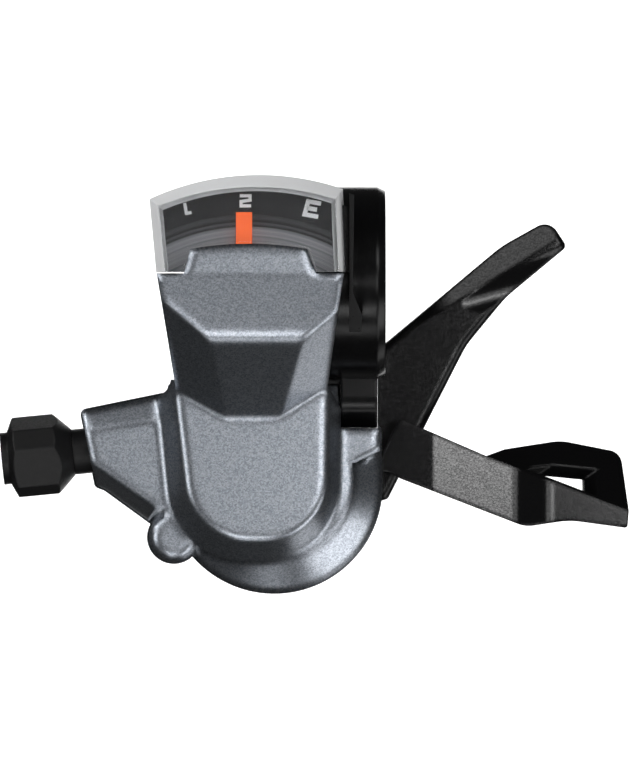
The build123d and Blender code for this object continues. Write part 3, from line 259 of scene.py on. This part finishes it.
tree.links.new(tones.outputs["Color"], shade.inputs[0])
tree.links.new(turned.outputs["Result"], shade.inputs[1])
tree.links.new(shade.outputs["Vector"], shader.inputs["Base Color"])
bump = tree.nodes.new("ShaderNodeBump")
bump.inputs["Strength"].default_value = 0.3
bump.inputs["Distance"].default_value = RING_DEPTH
tree.links.new(turned.outputs["Result"], bump.inputs["Height"])
tree.links.new(bump.outputs["Normal"], shader.inputs["Normal"])
dress(dial_face, "dial_plate")

# Numbers on the dial: squared white print on the raised band, read from the rider's side.
# The third gear's number is printed larger.
DIGIT_STROKES = {
    "1": [[(-0.75, 0.72), (0.1, 0.72)], [(0.1, 0.96), (0.1, -0.98)]],
    "2": [[(-0.9, 0.82), (0.7, 0.82), (0.7, 0.1), (-0.75, -0.1), (-0.75, -0.82), (0.9, -0.82)]],
    "3": [[(-0.9, 0.8), (0.75, 0.8), (0.6, -0.8), (-0.95, -0.8)], [(-0.6, 0.0), (0.65, 0.0)]],
}
DIGIT_PLACES = {
    "1": (-0.0235, 0.0109, 0.00092), "2": (-0.0147, 0.0121, 0.00092), "3": (-0.0048, 0.0109, 0.00125)}
DIGIT_LEAN = 0.6
STROKE_HALF = 0.26
PRINT_LIFT = 0.00002
white_print, tree, shader = new_finish("white_print", (0.97, 0.97, 0.97), 0.5)
add_grain(tree, shader, 0.0005, 0.00001, 0.1, 0.0001, (0.45, 0.55))
band_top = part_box("dial_plate")[1].z


def ribbon(path, half_width):
    """Flat band along a bent line: at each corner both rims lie on the mitre, half a width over the cosine of
    half the bend."""
    path = np.array(path)
    step = np.diff(path, axis=0)
    step /= np.linalg.norm(step, axis=1, keepdims=True)
    ahead = np.vstack([step, step[-1:]])
    behind = np.vstack([step[:1], step])
    along = ahead + behind
    along /= np.linalg.norm(along, axis=1, keepdims=True)
    side = np.stack([-along[:, 1], along[:, 0]], axis=1) / np.sum(along * ahead, axis=1, keepdims=True)
    return np.stack([path - side * half_width, path + side * half_width], axis=1)


def grid_faces(rows, columns, first):
    """Four-sided faces between the points of a grid, counted from a first point."""
    index = first + np.arange(rows * columns).reshape(rows, columns)
    return np.stack([index[:-1, :-1], index[:-1, 1:], index[1:, 1:], index[1:, :-1]], axis=-1).reshape(-1, 4)


def printed_digit(text, x, y, size):
    """Number made of flat strokes: scaled, turned by a share of its bearing from the needle's pivot, and laid
    just above the band."""
    points, faces = [], []
    for stroke in DIGIT_STROKES[text]:
        band = ribbon(stroke, STROKE_HALF)
        faces.append(grid_faces(*band.shape[:2], sum(len(part) for part in points)))
        points.append(band.reshape(-1, 2))
    flat = np.vstack(points) * size
    bearing = math.atan2(y - NEEDLE_PIVOT[1], x - NEEDLE_PIVOT[0]) - math.pi / 2
    lean = math.pi + DIGIT_LEAN * bearing
    turned_x = x + flat[:, 0] * math.cos(lean) - flat[:, 1] * math.sin(lean)
    turned_y = y + flat[:, 0] * math.sin(lean) + flat[:, 1] * math.cos(lean)
    corners = np.stack([turned_x, turned_y, np.full(len(flat), band_top + PRINT_LIFT)], axis=1)
    mesh = bpy.data.meshes.new("dial_number_" + text)
    mesh.from_pydata(corners.tolist(), [], np.vstack(faces).tolist())
    mesh.materials.append(white_print)
    digit = bpy.data.objects.new("dial_number_" + text, mesh)
    bpy.context.scene.collection.objects.link(digit)
    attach(digit, "base")


for text, (x, y, size) in DIGIT_PLACES.items():
    printed_digit(text, x, y, size)

# Needle: one black moulding. Its crank follows the cam on the winder, its arm comes up
# through the neck, and the tip that points at the gear is printed in signal orange.
ORANGE_FROM_R = 0.0245
ORANGE_GLOW = 0.35
ORANGE = (1.0, 0.13, 0.008, 1.0)
ARM_BLACK = (0.006, 0.006, 0.0062, 1.0)


def blend(tree, share, none, full):
    """A colour between two others, by a share from none to full."""
    mixed = tree.nodes.new("ShaderNodeMix")
    mixed.data_type = "RGBA"
    mixed.inputs["A"].default_value = none
    mixed.inputs["B"].default_value = full
    tree.links.new(share, mixed.inputs["Factor"])
    return mixed.outputs["Result"]


needle_finish, tree, shader = new_finish("needle_finish", ORANGE[:3], 0.4)
tip = combine(tree, "GREATER_THAN", distance_round(tree, NEEDLE_PIVOT), ORANGE_FROM_R)
tree.links.new(blend(tree, tip, ARM_BLACK, ORANGE), shader.inputs["Base Color"])
# The orange tip also gives off a little light of its own: a painted glow that makes it brighter than the
# lamps do.
shader.inputs["Emission Color"].default_value = ORANGE
tree.links.new(combine(tree, "MULTIPLY", tip, ORANGE_GLOW), shader.inputs["Emission Strength"])
add_grain(tree, shader, 0.0005, 0.00002, 0.15, 0.0002, (0.34, 0.46))
dress(needle_finish, "needle")

# Window over the dial: clear moulded plastic, set in front of the cover's head.
# It is polished on top, and its leaning walls are frosted.
WALL_TO_TOP = (0.6, 0.95)
CLEARNESS = (0.12, 0.99)
clear, tree, shader = new_finish("clear", (0.97, 0.98, 0.99), 0.03)
add_grain(tree, shader, 0.002, 0.00001, 0.05, 0.0002, (0.02, 0.05))
side = tree.nodes.new("ShaderNodeNewGeometry")
lie = tree.nodes.new("ShaderNodeSeparateXYZ")
tree.links.new(side.outputs["True Normal"], lie.inputs["Vector"])
level = tree.nodes.new("ShaderNodeMath")
level.operation = "ABSOLUTE"
tree.links.new(lie.outputs["Z"], level.inputs[0])
clearness = remap(tree, level.outputs["Value"], WALL_TO_TOP, CLEARNESS)
tree.links.new(clearness, shader.inputs["Transmission Weight"])
shader.inputs["IOR"].default_value = 1.49
dress(clear, "indicator_lens")

# Barrel adjuster: a satin black knob with flats, on a threaded stem with a sliding sleeve
# and a brass insert in the cover.
knob_black, tree, shader = new_finish("knob_black", (0.005, 0.005, 0.0052), 0.42)
shader.inputs["Specular IOR Level"].default_value = 0.2
add_grain(tree, shader, 0.00035, 0.00002, 0.25, 0.0004, (0.36, 0.5))
dress(knob_black, "barrel_adjuster", "adjuster_sleeve")
brass, tree, shader = new_finish("brass", (0.62, 0.44, 0.18), 0.3, 1.0)
add_grain(tree, shader, 0.0005, 0.00002, 0.15, 0.0002, (0.25, 0.38))
dress(brass, "cable_insert")

# Floor: a plain sheet some way under the part, which gives the white ground.
# It is pale only in the field of view, so that the paint mirrors white below the part
# and a dim room further out: the pale field and its glow are a painted pool of light, and the near black
# floor beyond it is painted shade.
FLOOR_HALF = 1.5
FLOOR_DROP = 0.1
LOOK = (-0.0042, -0.0153)
LOOK_HALF = (0.054, 0.066)
FIELD_RIM = (1.0, 1.3)
FAR_PAINTED_SHADE = (0.01, 0.01, 0.01, 1.0)
NEAR_TONE = (0.8, 0.8, 0.8, 1.0)
GROUND_WHITE = (0.96, 0.6)
pale_floor, tree, shader = new_finish("pale_floor", NEAR_TONE[:3], 0.8)
place = tree.nodes.new("ShaderNodeTexCoord")
field = tree.nodes.new("ShaderNodeMapping")
field.inputs["Location"].default_value = (-LOOK[0] / LOOK_HALF[0], -LOOK[1] / LOOK_HALF[1], 0.0)
field.inputs["Scale"].default_value = (1.0 / LOOK_HALF[0], 1.0 / LOOK_HALF[1], 0.0)
tree.links.new(place.outputs["Object"], field.inputs["Vector"])
size = tree.nodes.new("ShaderNodeVectorMath")
size.operation = "ABSOLUTE"
tree.links.new(field.outputs["Vector"], size.inputs[0])
split = tree.nodes.new("ShaderNodeSeparateXYZ")
tree.links.new(size.outputs["Vector"], split.inputs["Vector"])
reach = combine(tree, "MAXIMUM", split.outputs["X"], split.outputs["Y"])
# Painted pool of light: full inside the field of view, fading smoothly to none past its rim.
painted_pool = remap(tree, reach, FIELD_RIM, (1.0, 0.0), "SMOOTHSTEP")
tree.links.new(blend(tree, painted_pool, FAR_PAINTED_SHADE, NEAR_TONE), shader.inputs["Base Color"])
path = tree.nodes.new("ShaderNodeLightPath")
mirrored = combine(tree, "MULTIPLY", path.outputs["Is Glossy Ray"], painted_pool)
straight = combine(tree, "MAXIMUM", path.outputs["Is Camera Ray"], path.outputs["Is Transmission Ray"])
seen = combine(tree, "MAXIMUM", mirrored, straight)
white = remap(tree, painted_pool, (0.0, 1.0), GROUND_WHITE)
glow = tree.nodes.new("ShaderNodeEmission")
tree.links.new(combine(tree, "MULTIPLY", seen, white), glow.inputs["Strength"])
both = tree.nodes.new("ShaderNodeAddShader")
tree.links.new(shader.outputs["BSDF"], both.inputs[0])
tree.links.new(glow.outputs["Emission"], both.inputs[1])
tree.links.new(both.outputs["Shader"], tree.nodes["Material Output"].inputs["Surface"])
floor_z = cad_low.z - FLOOR_DROP
floor_corners = [(x * FLOOR_HALF, y * FLOOR_HALF, floor_z) for x, y in ((-1, -1), (1, -1), (1, 1), (-1, 1))]
floor_mesh = bpy.data.meshes.new("floor")
floor_mesh.from_pydata(floor_corners, [], [(0, 1, 2, 3)])
floor_mesh.materials.append(pale_floor)
floor = bpy.data.objects.new("floor", floor_mesh)
bpy.context.scene.collection.objects.link(floor)

# Light: soft panels in a dim room, each placed where one face of the cover, the levers or the
# window catches it. Each line gives a panel's place, its width and height, and its power.
# The room is dark at the horizon and a little lighter overhead.
MIDDLE = (-0.004, -0.015, 0.0)
PANELS = {
    "panel_above": ((0.44, 0.0, 1.35), (0.42, 0.5), 3.0),
    "panel_over": ((0.195, 0.0, 1.33), (0.09, 0.2), 1.1),
    "panel_right": ((0.7, -0.7, 0.46), (0.8, 0.45), 4.6),
    "panel_back": ((0.5, 0.5, 0.84), (0.5, 0.5), 4.8),
    "panel_west": ((-0.85, 0.0, 0.78), (0.5, 0.5), 4.0),
    "panel_front": ((-0.107, -0.605, 0.91), (0.22, 0.22), 1.8),
    "panel_low": ((-0.05, -0.93, 0.58), (0.3, 0.25), 0.75),
    "panel_left": ((-0.38, 0.54, 0.88), (0.3, 0.3), 1.1),
    "panel_corner": ((-0.8, 0.5, 0.35), (0.4, 0.4), 3.9),
    "card_right": ((0.17, -0.26, -0.1), (0.14, 0.14), 0.095),
}
ROOM_RISE = (0.1, 1.0)
ROOM_LEVEL = (0.02, 0.09)


def soft_panel(name, place, aim, width, height, power):
    """Flat area light at a place, turned to face the aim point, its width level."""
    lamp = bpy.data.lights.new(name, "AREA")
    lamp.shape = "RECTANGLE"
    lamp.size = width
    lamp.size_y = height
    lamp.energy = power
    holder = bpy.data.objects.new(name, lamp)
    bpy.context.scene.collection.objects.link(holder)
    holder.location = place
    toward = np.array(aim) - np.array(place)
    holder.rotation_euler = (
        math.atan2(math.hypot(toward[0], toward[1]), -toward[2]), 0.0, math.atan2(-toward[0], toward[1]))


for name, (place, (width, height), power) in PANELS.items():
    soft_panel(name, place, MIDDLE, width, height, power)
room = bpy.data.worlds.new("room")
room.use_nodes = True
tree = room.node_tree
place = tree.nodes.new("ShaderNodeTexCoord")
split = tree.nodes.new("ShaderNodeSeparateXYZ")
tree.links.new(place.outputs["Generated"], split.inputs["Vector"])
rise = remap(tree, split.outputs["Z"], ROOM_RISE, ROOM_LEVEL, "SMOOTHSTEP")
tree.links.new(rise, tree.nodes["Background"].inputs["Strength"])
tree.nodes["Background"].inputs["Color"].default_value = (1.0, 1.0, 1.0, 1.0)
bpy.context.scene.world = room

# Camera: straight above the part, as one looks down on the bar, and far enough back
# that the sides hardly lean.
VIEW_HEIGHT = 0.1155
CAMERA_Z = 2.0
SENSOR = 24.0
lens = bpy.data.cameras.new("camera")
lens.sensor_fit = "VERTICAL"
lens.sensor_height = SENSOR
lens.lens = SENSOR * CAMERA_Z / VIEW_HEIGHT
camera = bpy.data.objects.new("camera", lens)
bpy.context.scene.collection.objects.link(camera)
camera.location = (*LOOK, CAMERA_Z)
bpy.context.scene.camera = camera
bpy.context.scene.view_settings.view_transform = "Standard"
